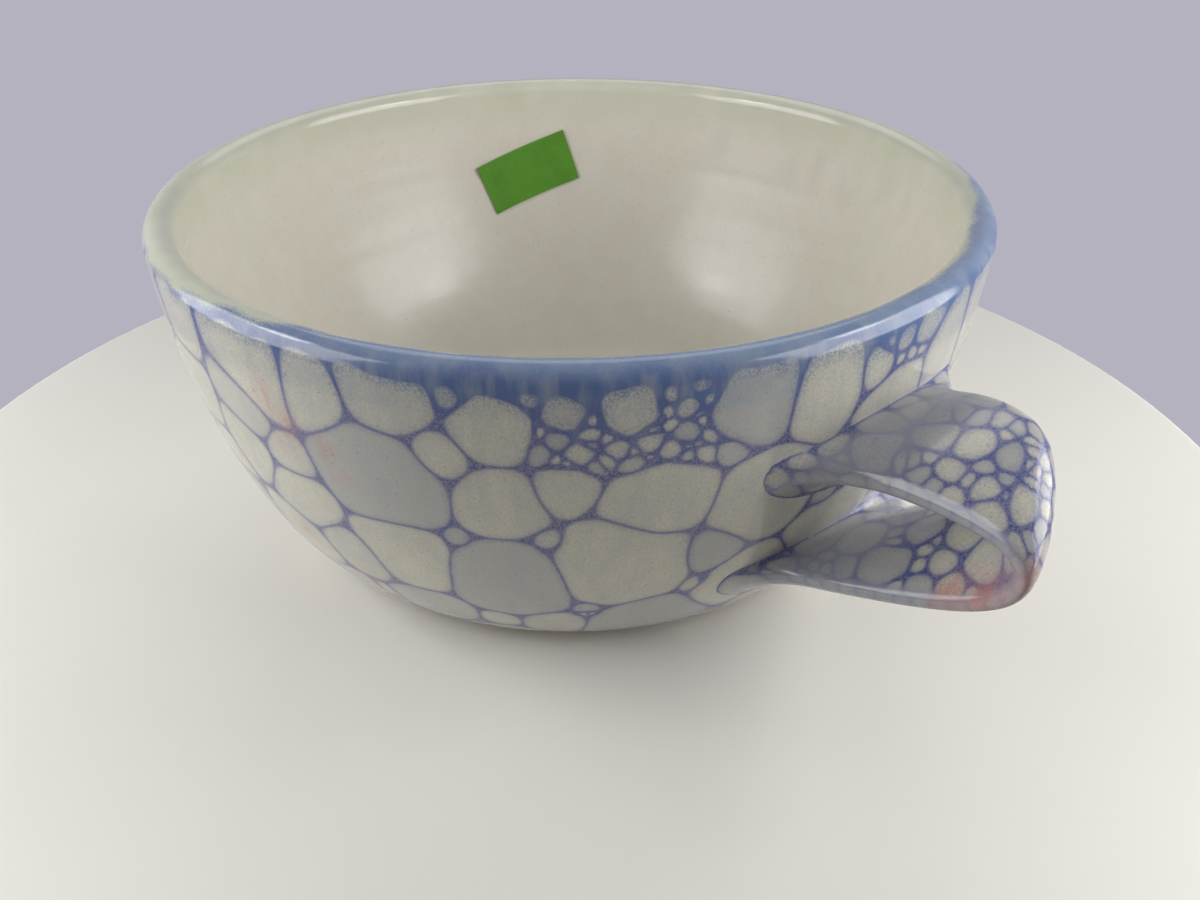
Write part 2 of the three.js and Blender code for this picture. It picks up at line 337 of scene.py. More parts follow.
class Strap:
    """Path of the handle in the XZ plane and the oval sections swept along it."""

    thinning = 6 * MM

    def __init__(self, shape, section):
        self.shape = shape
        upper = (section.wall_radius(shape.upper_height), shape.upper_height)
        lower = (section.wall_radius(shape.lower_height), shape.lower_height)
        nose = (upper[0] + shape.reach, shape.nose_height)
        self.upper_slope = section.wall_slope(shape.upper_height)
        self.lower_slope = section.wall_slope(shape.lower_height)
        over = bezier(
            upper,
            along(upper, shape.upper_rise, shape.upper_pull),
            along(nose, math.pi / 2, shape.nose_up),
            nose,
        )
        under = bezier(
            nose,
            along(nose, -math.pi / 2, shape.nose_down),
            along(lower, shape.lower_rise, shape.lower_pull),
            lower,
        )
        start = np.array([self.behind(upper, self.upper_slope)])
        end = np.array([self.behind(lower, self.lower_slope)])
        self.points = np.concatenate([start, over, under[1:], end])
        self.lengths = lengths_of(self.points)
        self.total = self.lengths[-1]
        self.nose = self.lengths[len(over)]
        self.pivot = upper[0]

    def behind(self, joint, slope):
        return joint[0] - slope[1] * self.shape.root, joint[1] + slope[0] * self.shape.root

    def sweep(self, steps, ring, grow):
        """Points and outward directions of the swept surface, steps by ring."""
        shape = self.shape
        length = np.linspace(0, self.total, steps)
        centre = np.column_stack([np.interp(length, self.lengths, self.points[:, i]) for i in (0, 1)])
        tangent = np.gradient(centre, length, axis=0)
        tangent /= np.linalg.norm(tangent, axis=1)[:, None]
        from_end = np.minimum(length, self.total - length) - shape.root
        flare = np.clip(1 - from_end / shape.flare_length, 0, 1) ** 2
        upper = length < self.nose
        flat = np.where(upper[:, None], self.upper_slope, -self.lower_slope)
        lean = smooth(0, 1, 1 - from_end / shape.lean_length)[:, None]
        out = np.column_stack([-tangent[:, 1], tangent[:, 0]]) * (1 - lean) + flat * lean
        out /= np.linalg.norm(out, axis=1)[:, None]
        to_nose = smooth(0, 1, 1 - np.abs(length - self.nose) / (self.total / 2))
        width = shape.width + (shape.nose_width - shape.width) * to_nose
        width = width + 2 * shape.flare_width * flare
        full = shape.lower_thickness + (shape.thickness - shape.lower_thickness) * smooth(
            self.nose + self.thinning, self.nose - self.thinning, length
        )
        swell = np.where(upper, shape.upper_flare, shape.lower_flare)
        thick = full + (shape.nose_thickness - full) * to_nose + 2 * swell * flare
        angle = np.linspace(0, 2 * math.pi, ring, endpoint=False)
        exponent = 2 / shape.squareness
        side = np.sign(np.cos(angle)) * np.abs(np.cos(angle)) ** exponent
        rise = np.sign(np.sin(angle)) * np.abs(np.sin(angle)) ** exponent
        across = side * (width[:, None] / 2 + grow)
        up = rise * (thick[:, None] / 2 + grow)
        twist = to_nose[:, None] * across / (width[:, None] / 2)
        points = np.stack(
            [
                centre[:, :1] + out[:, :1] * up - shape.twist_out * twist,
                across,
                centre[:, 1:] + out[:, 1:] * up + shape.twist_up * twist,
            ],
            axis=2,
        )
        facing = np.stack(
            [out[:, :1] * rise, np.broadcast_to(side, up.shape), out[:, 1:] * rise], axis=2
        )
        facing /= np.linalg.norm(facing, axis=2)[..., None]
        return self.skewed(points), self.skewed(facing, 0)

    def skewed(self, points, pivot=None):
        """Points turned about the upright through the upper joint, or about another pivot."""
        pivot = self.pivot if pivot is None else pivot
        c, s = math.cos(self.shape.skew), math.sin(self.shape.skew)
        x = points[..., 0] - pivot
        y = points[..., 1]
        return np.stack([pivot + c * x - s * y, s * x + c * y, points[..., 2]], axis=-1)


# Bubbles that burst on the glaze


LAYERS = tuple(f"layer_{number}" for number in range(6))


class Bubbles:
    """Bubbles as places, radii and shades, in millimetres. A place is a point and its weighted normal."""

    facing_weight = 5.0
    farthest = 60.0

    def __init__(self, seed):
        self.rng = np.random.default_rng(seed)
        self.places = np.empty((0, 6))
        self.radii = np.empty(0)
        self.shades = np.empty(0)
        self.layers = np.empty(0, int)

    def drop(self, place, radius):
        self.places = np.vstack([self.places, place])
        self.radii = np.append(self.radii, radius)
        self.shades = np.append(self.shades, self.rng.random())

    def has_room(self, place, radius, closeness):
        if not len(self.radii):
            return True
        apart = np.linalg.norm(self.places - place, axis=1)
        return bool(np.all(apart > closeness * (radius + self.radii)))

    def scatter(self, places, largest, sizes, tries, closeness):
        """Drops bubbles at random places, big ones first, where they fit and have room."""
        for radius in sizes:
            for index in self.rng.integers(len(places), size=tries):
                if radius <= largest[index] and self.has_room(places[index], radius, closeness):
                    self.drop(places[index], radius)

    def outsides(self, places, chunk=2000):
        """Stretches of the places, each with its distances outside every bubble."""
        centre_squares = np.sum(self.places**2, axis=1)
        for start in range(0, len(places), chunk):
            part = places[start : start + chunk]
            squares = np.sum(part**2, axis=1)[:, None] + centre_squares - 2 * part @ self.places.T
            yield slice(start, start + len(part)), np.sqrt(np.maximum(squares, 0)) - self.radii

    def spread_over_layers(self, places):
        """Gives each bubble a layer, so that no two neighbours share one."""
        neighbours = [set() for _ in self.radii]
        for _, outside in self.outsides(places):
            trios = np.sort(np.argpartition(outside, 2, axis=1)[:, :3], axis=1)
            for trio in np.unique(trios, axis=0).tolist():
                for one in trio:
                    neighbours[one].update(set(trio) - {one})
        left = {one: set(others) for one, others in enumerate(neighbours)}
        removed = []
        while left:
            loosest = min(left, key=lambda one: len(left[one]))
            removed.append(loosest)
            for other in left.pop(loosest):
                left[other].discard(loosest)
        self.layers = np.full(len(self.radii), -1)
        for one in reversed(removed):
            taken = {self.layers[other] for other in neighbours[one]}
            self.layers[one] = next((n for n in range(len(LAYERS)) if n not in taken), 0)

    def field(self, places):
        """Distance outside the nearest bubble of each layer, and the nearest bubble of all."""
        distances = np.empty((len(LAYERS), len(places)))
        owner = np.empty(len(places), int)
        for part, outside in self.outsides(places):
            owner[part] = np.argmin(outside, axis=1)
            for number in range(len(LAYERS)):
                layer = outside[:, self.layers == number]
                distances[number, part] = layer.min(axis=1, initial=self.farthest)
        return distances, owner


def store(mesh, name, values):
    """Keeps one number on each point of a mesh."""
    attribute = mesh.attributes.new(name, "FLOAT", "POINT")
    attribute.data.foreach_set("value", np.asarray(values, np.float32))


def stored(mesh, name):
    values = np.empty(len(mesh.vertices), np.float32)
    mesh.attributes[name].data.foreach_get("value", values)
    return values


def places_of(mesh):
    """Points and weighted normals of a mesh's vertices, in millimetres."""
    points = np.empty(len(mesh.vertices) * 3, np.float32)
    normals = np.empty(len(mesh.vertices) * 3, np.float32)
    mesh.vertices.foreach_get("co", points)
    mesh.vertices.foreach_get("normal", normals)
    points = points.reshape(-1, 3) / MM
    return np.hstack([points, normals.reshape(-1, 3) * Bubbles.facing_weight]).astype(float)


def turned_places(mesh, section):
    """Places on a turned coat that face as the clay's section does, also at the coat's own ends."""
    places = places_of(mesh)
    lengths = stored(mesh, "along")
    out, up = (np.interp(lengths, section.lengths, section.normals[:, axis]) for axis in (0, 1))
    radius = np.hypot(places[:, 0], places[:, 1])
    places[:, 3:5] = places[:, :2] / radius[:, None] * out[:, None] * Bubbles.facing_weight
    places[:, 5] = up * Bubbles.facing_weight
    return places


def wavy(places, amount, span, seed):
    """The places with their points shifted by a slow noise, which bends the lines."""
    noise.seed_set(seed)
    moved = places.copy()
    for row in moved:
        row[:3] += np.array(noise.noise_vector(Vector(row[:3]) / span)) * amount
    return moved


def patchy(places, span, offset=0.0):
    """Slow noise from about -1 to 1 at each place."""
    shift = Vector((offset, offset, offset))
    return np.array([noise.noise(Vector(row[:3]) / span + shift) for row in places])


# Node helpers


class Wiring:
    """Adds nodes to a tree and joins their sockets."""

    def __init__(self, tree):
        self.tree = tree

    def add(self, kind, inputs=None, **options):
        node = self.tree.nodes.new(kind)
        for name, value in options.items():
            setattr(node, name, value)
        for socket, value in (inputs or {}).items():
            self.feed(node.inputs[socket], value)
        return node

    def feed(self, socket, value):
        if isinstance(value, bpy.types.NodeSocket):
            self.tree.links.new(value, socket)
        elif isinstance(value, bpy.types.Node):
            self.tree.links.new(value.outputs[0], socket)
        else:
            socket.default_value = value

    def math(self, operation, first, second=0.0, third=0.0, clamp=False):
        node = self.add("ShaderNodeMath", operation=operation, use_clamp=clamp)
        for socket, value in zip(node.inputs, (first, second, third)):
            self.feed(socket, value)
        return node.outputs[0]

    def minus(self, first, second):
        return self.math("SUBTRACT", first, second)

    def times(self, first, second):
        return self.math("MULTIPLY", first, second)

    def times_add(self, first, second, third):
        return self.math("MULTIPLY_ADD", first, second, third)

    def ramp(self, value, low, high, to_low=0.0, to_high=1.0):
        """Smooth step of a value from low to high."""
        node = self.add("ShaderNodeMapRange", interpolation_type="SMOOTHSTEP")
        for socket, entry in zip(node.inputs, (value, low, high, to_low, to_high)):
            self.feed(socket, entry)
        return node.outputs[0]

    def mix(self, share, first, second, blend="MIX"):
        node = self.add("ShaderNodeMix", data_type="RGBA", blend_type=blend, clamp_factor=True)
        self.feed(node.inputs[0], share)
        self.feed(node.inputs[6], first)
        self.feed(node.inputs[7], second)
        return node.outputs[2]

    def noise(self, vector, scale, detail=2.0, roughness=0.5):
        values = {"Vector": vector, "Scale": scale, "Detail": detail, "Roughness": roughness}
        return self.add("ShaderNodeTexNoise", values).outputs[0]

    def group(self, tree, inputs=None):
        return self.add("ShaderNodeGroup", inputs, node_tree=tree).outputs

    def attribute(self, name):
        return self.add("ShaderNodeAttribute", attribute_name=name).outputs["Fac"]


def socket_for(tree, name, kind, default=None, output=False):
    side = "OUTPUT" if output else "INPUT"
    socket = tree.interface.new_socket(name, in_out=side, socket_type="NodeSocket" + kind)
    if default is not None:
        socket.default_value = default


def opaque(rgb):
    return (*rgb, 1.0)


# Shader groups and materials


# Lengths in the bubble glaze, in millimetres
LINE_FUZZ = 0.3
CEILING_ROUNDING = 2.6
HALO = 1.5
HALO_IN_DYE = 2.6

# Width of the lines round the smallest bubbles, as a share of the full width
THINNEST_LINE = 0.6


def grain_group():
    """Fine grain of a fired glaze: slow clouds, fine grain, upright streaks and rare dark specks."""
    tree = bpy.data.node_groups.new("Glaze Grain", "ShaderNodeTree")
    socket_for(tree, "Fine Scale", "Float", 2600.0)
    socket_for(tree, "Cloud Scale", "Float", 160.0)
    socket_for(tree, "Streak Scale", "Float", 260.0)
    for name in ("Grain", "Cloud", "Streak", "Speck"):
        socket_for(tree, name, "Float", output=True)
    wire = Wiring(tree)
    given = wire.add("NodeGroupInput")
    place = wire.add("ShaderNodeTexCoord").outputs["Object"]
    fine = wire.noise(place, given.outputs["Fine Scale"], 3.0, 0.6)
    cloud = wire.noise(place, given.outputs["Cloud Scale"], 4.0, 0.6)
    upright = wire.add("ShaderNodeMapping", {"Vector": place, "Scale": (1.0, 1.0, 0.2)}).outputs[0]
    streak = wire.noise(upright, given.outputs["Streak Scale"], 3.0, 0.6)
    speck = wire.noise(place, 1500.0, 1.0)
    wire.add(
        "NodeGroupOutput",
        {
            "Grain": wire.ramp(fine, 0.25, 0.75),
            "Cloud": wire.ramp(cloud, 0.3, 0.7),
            "Streak": wire.ramp(streak, 0.4, 0.7),
            "Speck": wire.ramp(speck, 0.66, 0.78),
        },
    )
    return tree


def line_distance(wire):
    """Distance from the nearest line between bubbles, in millimetres, with rounded corners."""
    first, second, third = wire.attribute(LAYERS[0]), Bubbles.farthest, Bubbles.farthest
    for name in LAYERS[1:]:
        value = wire.attribute(name)
        third = wire.math("MINIMUM", third, wire.math("MAXIMUM", second, value))
        second = wire.math("MINIMUM", second, wire.math("MAXIMUM", first, value))
        first = wire.math("MINIMUM", first, value)
    gap = wire.times(wire.minus(second, first), 0.5)
    spare = wire.times(wire.minus(third, second), 0.5)
    rounding = wire.attribute("rounding")
    overlap = wire.math("MAXIMUM", wire.minus(rounding, spare), 0.0)
    bite = wire.math("DIVIDE", wire.math("POWER", overlap, 2.0), wire.times(rounding, 4.0))
    return wire.minus(gap, bite)


def blue_share(wire, line_width, rough, sand, dye):
    """Share of blue in the glaze, from the lines and their stippled halos, and the lines alone."""
    fuzz = wire.times(wire.minus(sand, 0.5), LINE_FUZZ)
    rounded = wire.math("SMOOTH_MIN", line_distance(wire), wire.attribute("ceiling"), CEILING_ROUNDING)
    away = wire.math("ADD", rounded, fuzz)
    thin = wire.ramp(wire.attribute("rounding"), 0.25, 1.6, THINNEST_LINE, 1.0)
    width = wire.times(line_width, wire.times_add(dye, 0.9, thin))
    line = wire.minus(1.0, wire.ramp(away, wire.times(width, 0.1), width))
    reach = wire.times(thin, wire.times_add(dye, HALO_IN_DYE, HALO))
    halo = wire.minus(1.0, wire.ramp(away, 0.0, reach))
    halo = wire.times(halo, wire.times_add(dye, 0.5, 0.4))
    halo = wire.times(halo, wire.times_add(sand, 0.7, 0.3))
    core = wire.times(line, wire.times_add(dye, 0.35, 0.58))
    patches = wire.times(wire.times(dye, rough["Streak"]), -0.45)
    blue = wire.math("ADD", wire.math("ADD", core, halo, clamp=True), patches, clamp=True)
    return blue, line


def cell_colour(wire, given, rough, sand):
    """Cream or grey of a cell, clouded, streaked and sanded."""
    flat = wire.mix(wire.ramp(wire.attribute("shade"), 0.3, 1.0), given["Cream"], given["Grey"])
    flat = wire.mix(wire.times(rough["Cloud"], 0.35), flat, given["Grey"])
    flat = wire.mix(wire.times(rough["Streak"], 0.22), flat, given["Wash"])
    return wire.mix(wire.times(sand, 0.3), flat, given["Wash"])


def bubble_group(look, grain):
    """Colour and relief of the bubble glaze from the numbers that the meshes keep on their points."""
    tree = bpy.data.node_groups.new("Bubble Glaze", "ShaderNodeTree")
    for name, rgb in (
        ("Cream", look.cream),
        ("Grey", look.grey),
        ("Blue", look.blue),
        ("Rim Blue", look.rim_blue),
        ("Wash", look.wash),
        ("Blush", look.blush),
    ):
        socket_for(tree, name, "Color", opaque(rgb))
    socket_for(tree, "Line", "Float", look.line / MM)
    socket_for(tree, "Color", "Color", output=True)
    for name in ("Roughness", "Height"):
        socket_for(tree, name, "Float", output=True)
    wire = Wiring(tree)
    given = wire.add("NodeGroupInput").outputs
    rough = wire.group(grain)
    sand = wire.ramp(rough["Grain"], 0.25, 0.75)
    dye = wire.attribute("dye")
    blue, line = blue_share(wire, given["Line"], rough, sand, dye)
    cell = cell_colour(wire, given, rough, sand)
    tinted = wire.mix(blue, cell, wire.mix(dye, given["Blue"], given["Rim Blue"]))
    # This attribute holds smooth glaze on worn edges and, on the strap's faces turned down and towards
    # the bowl, painted shade.
    washed = wire.times(wire.attribute("wash"), wire.times_add(rough["Grain"], 0.3, 0.7))
    tinted = wire.mix(washed, tinted, given["Wash"])
    stroke = wire.times(wire.attribute("blush"), wire.ramp(rough["Streak"], 0.0, 0.8, 0.4, 1.0))
    stroke = wire.times(stroke, wire.times_add(rough["Grain"], 0.7, 0.35))
    tinted = wire.mix(stroke, tinted, given["Blush"])
    tinted = wire.mix(wire.times(rough["Speck"], 0.3), tinted, given["Blue"])
    groove = wire.times(line, wire.times_add(washed, 0.5, -0.5))
    relief = wire.times_add(rough["Grain"], 0.08, groove)
    gloss = wire.times_add(rough["Grain"], 0.06, 0.1)
    wire.add("NodeGroupOutput", {"Color": tinted, "Roughness": gloss, "Height": relief})
    return tree


def finish_material(wire, base, roughness, height=None, depth=0.05 * MM, strength=0.4):
    """The shader of a material, with a fine relief where a height is given."""
    surface = wire.add("ShaderNodeBsdfPrincipled", {"Base Color": base, "Roughness": roughness})
    if height is not None:
        bump = wire.add("ShaderNodeBump", {"Strength": strength, "Distance": depth, "Height": height})
        wire.feed(surface.inputs["Normal"], bump)
    wire.add("ShaderNodeOutputMaterial", {"Surface": surface})


def bubble_glaze(wire, groups):
    glaze = wire.group(groups["bubble"])
    finish_material(wire, glaze["Color"], glaze["Roughness"], glaze["Height"])


def lining_colour(wire, look, rough):
    """Warm white with faint clouds and specks, tinted green by attribute where it thins at the lip."""
    warm = wire.mix(0.5, opaque(look.lining), opaque(look.clay), "SOFT_LIGHT")
    base = wire.mix(wire.times(rough["Cloud"], 0.4), opaque(look.lining), warm)
    base = wire.mix(wire.times(rough["Grain"], 0.14), base, opaque(look.grey))
    base = wire.mix(wire.times(rough["Speck"], 0.22), base, opaque(look.clay))
    return wire.mix(wire.attribute("lip"), base, opaque(look.lip))


def rim_glaze(wire, look, groups):
    """Bubble glaze that turns to a cream green where it thins over the lip."""
    glaze = wire.group(groups["bubble"], {"Wash": opaque(look.rim_wash)})
    rough = wire.group(groups["grain"])
    inside = wire.times_add(wire.minus(rough["Grain"], 0.5), 0.4, wire.attribute("inside"))
    base = wire.mix(wire.ramp(inside, 0.1, 0.9), glaze["Color"], lining_colour(wire, look, rough))
    finish_material(wire, base, glaze["Roughness"], glaze["Height"])


def lining_glaze(wire, look, groups):
    """Warm white glaze with faint clouds, fine specks and runs below the lip."""
    rough = wire.group(groups["grain"])
    runs = wire.attribute("runs")
    base = wire.mix(wire.times(runs, 0.22), lining_colour(wire, look, rough), opaque(look.grey))
    gloss = wire.times_add(rough["Grain"], 0.06, 0.22)
    relief = wire.times_add(runs, 2.0, wire.times(rough["Grain"], 0.12))
    finish_material(wire, base, gloss, relief)


def shaded(rgb, share):
    """A colour made paler or deeper."""
    return opaque(min(1.0, share * part) for part in rgb)


def fired_clay(wire, rgb, groups):
    """Sandy fired clay."""
    rough = wire.group(groups["grain"])
    deep = shaded(rgb, 0.6)
    base = wire.mix(rough["Cloud"], opaque(rgb), shaded(rgb, 1.35))
    base = wire.mix(wire.times(rough["Grain"], 0.4), base, deep)
    base = wire.mix(wire.times(rough["Speck"], 0.6), base, deep)
    roughness = wire.times_add(rough["Grain"], 0.15, 0.75)
    finish_material(wire, base, roughness, rough["Grain"], 0.12 * MM, 0.8)


def dyed_paper(wire, rgb):
    """Matte dyed paper with short fibres."""
    place = wire.add("ShaderNodeTexCoord").outputs["Object"]
    stretched = wire.add("ShaderNodeMapping", {"Vector": place, "Scale": (1.0, 1.0, 3.0)})
    fibre = wire.noise(stretched.outputs[0], 1400.0, 4.0, 0.7)
    cloud = wire.noise(place, 120.0, 2.0)
    pale = opaque(min(1.0, 1.3 * part + 0.01) for part in rgb)
    base = wire.mix(wire.ramp(fibre, 0.3, 0.7), opaque(rgb), pale)
    base = wire.mix(wire.times(wire.ramp(cloud, 0.4, 0.7), 0.5), base, shaded(rgb, 0.75))
    finish_material(wire, base, wire.ramp(fibre, 0.2, 0.8, 0.62, 0.8), fibre, 0.03 * MM, 0.5)


def painted_board(wire, rgb, roughness):
    """Painted board for the stage, with a faint mottle."""
    place = wire.add("ShaderNodeTexCoord").outputs["Object"]
    mottle = wire.ramp(wire.noise(place, 30.0, 4.0), 0.3, 0.7, 0.0, 0.08)
    finish_material(wire, wire.mix(mottle, opaque(rgb), shaded(rgb, 0.85)), roughness)


def shared_groups(look):
    grain = bpy.data.node_groups.get("Glaze Grain") or grain_group()
    bubble = bpy.data.node_groups.get("Bubble Glaze") or bubble_group(look, grain)
    return {"grain": grain, "bubble": bubble}


def material_once(name, paint, *values):
    """The material of that name, made and painted on first use."""
    material = bpy.data.materials.get(name)
    if material is None:
        material = bpy.data.materials.new(name)
        material.use_nodes = True
        material.node_tree.nodes.clear()
        paint(Wiring(material.node_tree), *values)
    return material


# Pieces


# Wander of the throwing rings round the bowl, as a share of their spacing
RING_WANDER = 0.35

# Closest points of a turned mesh, which merge
MERGE_DISTANCE = 0.002 * MM

# Rows of a coat's skin for each row of its hidden back
SKIN_PER_BACK = 12


def add_object(name, data):
    made = bpy.data.objects.new(name, data)
    bpy.context.scene.collection.objects.link(made)
    return made


def smooth_piece(name, points, faces, material, sharp):
    """A smooth mesh object, with sharp edges from an angle in degrees."""
    mesh = bpy.data.meshes.new(name)
    mesh.from_pydata(points.tolist(), [], faces)
    mesh.materials.append(material)
    mesh.shade_smooth()
    mesh.set_sharp_from_angle(angle=math.radians(sharp))
    return add_object(name, mesh)


def turned_tree():
    """Geometry Nodes that turn a section about the upright and give it throwing rings."""
    tree = bpy.data.node_groups.new("Turned Section", "GeometryNodeTree")
    socket_for(tree, "Section", "Geometry")
    socket_for(tree, "Columns", "Int", 96)
    socket_for(tree, "Ring Spacing", "Float", 6 * MM)
    socket_for(tree, "Material", "Material")
    socket_for(tree, "Geometry", "Geometry", output=True)
    wire = Wiring(tree)
    given = wire.add("NodeGroupInput").outputs
    rows = wire.add("GeometryNodeAttributeDomainSize", {"Geometry": given["Section"]}, component="MESH")
    columns = wire.math("ADD", given["Columns"], 1.0)
    grid = wire.add(
        "GeometryNodeMeshGrid", {"Vertices X": columns, "Vertices Y": rows.outputs["Point Count"]}
    )
    share = wire.add("ShaderNodeSeparateXYZ", {"Vector": grid.outputs["UV Map"]}).outputs
    last = wire.minus(rows.outputs["Point Count"], 1.0)
    row = wire.math("ROUND", wire.times(share["Y"], last))
    row = wire.add("FunctionNodeFloatToInt", {"Float": row}, rounding_mode="ROUND").outputs[0]
    angle = wire.times(share["X"], 2 * math.pi)

    def from_section(value, kind):
        inputs = {"Geometry": given["Section"], "Value": value, "Index": row}
        return wire.add("GeometryNodeSampleIndex", inputs, data_type=kind).outputs[0]

    kept = {
        name: wire.add("GeometryNodeInputNamedAttribute", {"Name": name}, data_type="FLOAT").outputs[0]
        for name in ("along", "ring")
    }
    here = wire.add("GeometryNodeInputPosition").outputs[0]
    point = wire.add("ShaderNodeSeparateXYZ", {"Vector": from_section(here, "FLOAT_VECTOR")}).outputs
    cosine = wire.math("COSINE", angle)
    sine = wire.math("SINE", angle)
    place = wire.add(
        "ShaderNodeCombineXYZ",
        {
            "X": wire.times(point["X"], cosine),
            "Y": wire.times(point["X"], sine),
            "Z": point["Z"],
        },
    )
    shell = wire.add("GeometryNodeSetPosition", {"Geometry": grid.outputs["Mesh"], "Position": place})
    for name, value in kept.items():
        inputs = {"Geometry": shell, "Name": name, "Value": from_section(value, "FLOAT")}
        shell = wire.add("GeometryNodeStoreNamedAttribute", inputs, data_type="FLOAT", domain="POINT")
    shell = wire.add("GeometryNodeMergeByDistance", {"Geometry": shell, "Distance": MERGE_DISTANCE})
    ring_place = wire.add(
        "ShaderNodeCombineXYZ",
        {
            "X": wire.times(cosine, RING_WANDER),
            "Y": wire.times(sine, RING_WANDER),
            "Z": wire.math("DIVIDE", kept["along"], given["Ring Spacing"]),
        },
    )
    swell = wire.minus(wire.noise(ring_place.outputs[0], 1.0, 1.0), 0.5)
    lift = wire.times(wire.times(swell, 2.0), kept["ring"])
    away = wire.add("ShaderNodeVectorMath", operation="SCALE")
    wire.feed(away.inputs[0], wire.add("GeometryNodeInputNormal").outputs[0])
    wire.feed(away.inputs["Scale"], lift)
    shell = wire.add("GeometryNodeSetPosition", {"Geometry": shell, "Offset": away.outputs[0]})
    shell = wire.add("GeometryNodeSetShadeSmooth", {"Geometry": shell})
    shell = wire.add("GeometryNodeRealizeInstances", {"Geometry": shell})
    shell = wire.add("GeometryNodeSetMaterial", {"Geometry": shell, "Material": given["Material"]})
    wire.add("NodeGroupOutput", {"Geometry": shell})
    return tree


def turned_piece(name, profile, lengths, rings, columns, material):
    """A mesh object turned from a section, with the length along it kept on each point."""
    line = bpy.data.meshes.new(name + "_section")
    line.from_pydata([(x, 0, z) for x, z in profile], [(i, i + 1) for i in range(len(profile) - 1)], [])
    store(line, "along", lengths)
    store(line, "ring", rings)
    piece = add_object(name, line)
    tree = bpy.data.node_groups.get("Turned Section") or turned_tree()
    modifier = piece.modifiers.new("Turned", "NODES")
    modifier.node_group = tree
    values = {
        "Columns": columns,
        "Ring Spacing": settings().glaze.ripple_step,
        "Material": material,
    }
    for item in tree.interface.items_tree:
        if item.in_out == "INPUT" and item.name in values:
            modifier[item.identifier] = values[item.name]
    made = bpy.data.meshes.new_from_object(piece.evaluated_get(bpy.context.evaluated_depsgraph_get()))
    piece.modifiers.clear()
    piece.data = made
    made.name = name
    bpy.data.meshes.remove(line)
    made.set_sharp_from_angle(angle=math.radians(50))
    return piece


def coat_section(section, start, end, rows, look, bead=False):
    """Closed section of a coat of glaze, with the length and the height of the rings at each point."""
    skin = np.linspace(start, end, rows + 1)
    grow = np.full(len(skin), look.gap + look.coat)
    if bead:
        share = np.clip((skin - start) / look.bead_length, 0, 1)
        grow += look.bead * (1 - smooth(0.3, 1, share))
        grow *= np.sqrt(1 - (1 - np.minimum(share * 2.5, 1)) ** 2)
    back = np.linspace(end, start, max(6, rows // SKIN_PER_BACK))
    points = [section.at(skin, grow), section.at(back, look.gap)]
    profile = np.concatenate([*points, points[0][:1]])
    lengths = np.concatenate([skin, back, skin[:1]])
    fade = smooth(0, look.ripple_fade, np.minimum(skin - start, end - skin))
    rings = np.concatenate([look.ripple * fade, np.zeros(len(back) + 1)])
    return profile, lengths, rings


def keep_piece(piece, nodes):
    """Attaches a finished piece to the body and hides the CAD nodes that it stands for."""
    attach(piece, BODY)
    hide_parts(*nodes)


# Painting by attributes


MAIN_BUBBLES = (
    # (degrees round from the handle, height, radius) of bubbles on the side with the handle's near edge
    (-76, 60, 8.0),
    (-68, 60, 6.2),
    (-58, 63, 7.4),
    (-47, 59.5, 6.6),
    (-53, 54, 5.2),
    (-61, 47, 11.4),
    (-47, 45, 7.8),
    (-61, 29, 10.4),
    (-47, 26, 12.0),
    (-70, 25, 7.4),
    (-75, 36, 7.4),
    (-75, 46, 5.2),
    (-80, 52, 6.4),
    (-83, 43, 6.4),
    (-81, 22, 7.6),
    (-60, 13, 8.0),
    (-40, 63, 3.4),
    (-33, 63, 4.4),
    (-26, 66, 1.7),
    (-27, 63, 2.0),
    (-27, 58, 1.9),
    (-31, 57, 1.8),
    (-34.5, 56.5, 1.6),
    (-37, 59.5, 1.3),
    (-38, 55.5, 1.9),
    (-24, 57, 1.3),
    (-25, 54, 1.5),
    (-22, 54, 1.6),
    (-20, 61, 6.2),
    (-10, 60, 6.0),
    (-40, 49, 4.9),
    (-29, 45, 8.8),
    (-33, 31, 12.4),
    (-22, 32, 5.2),
    (-17, 42, 8.6),
    (-16, 20, 9.0),
)

DRIFTS = (
    # (degrees round from the handle, height, half width in degrees, half height) of small bubbles
    (-39, 57.5, 4, 5),
    (-29, 56.5, 8, 4),
    (-26, 64, 4, 3),
    (-45, 66, 10, 1.5),
    (-53, 37, 1.6, 1.8),
    (-42, 37.5, 1.6, 2.4),
    (-26, 35, 1.2, 1.4),
    (-22, 24, 1.2, 1.8),
    (-37, 18, 1.4, 1.6),
)

STRAP_BUBBLES = (
    # (share of the strap's length, degrees round its section, radius), upper face and then inner face
    (0.29, 95, 3.2),
    (0.34, 92, 2.6),
    (0.232, 104, 2.6),
    (0.271, 130, 1.9),
    (0.32, 128, 2.1),
    (0.234, 124, 1.0),
    (0.217, 130, 1.2),
    (0.197, 135, 1.0),
    (0.236, 142, 1.2),
    (0.259, 148, 1.2),
    (0.278, 151, 1.2),
    (0.296, 130, 0.9),
    (0.37, 119, 3.0),
    (0.366, 76, 0.9),
    (0.363, 88, 0.9),
    (0.373, 88, 0.8),
    (0.37, 99, 0.8),
    (0.387, 92, 1.0),
    (0.383, 76, 0.9),
    (0.363, 67, 0.9),
    (0.349, 124, 1.0),
    (0.338, 113, 1.0),
    (0.278, 72, 1.6),
    (0.24, 74, 1.7),
    (0.207, 83, 1.8),
    (0.344, 63, 1.3),
    (0.31, 65, 1.4),
    (0.667, 229, 4.2),
    (0.49, 236, 3.6),
    (0.574, 238, 2.6),
    (0.89, 256, 7.0),
    (0.794, 209, 1.4),
    (0.823, 212, 1.1),
    (0.765, 209, 1.4),
    (0.853, 203, 3.0),
    (0.74, 216, 1.8),
    (0.55, 262, 4.2),
    (0.64, 268, 3.8),
    (0.76, 255, 5.0),
)

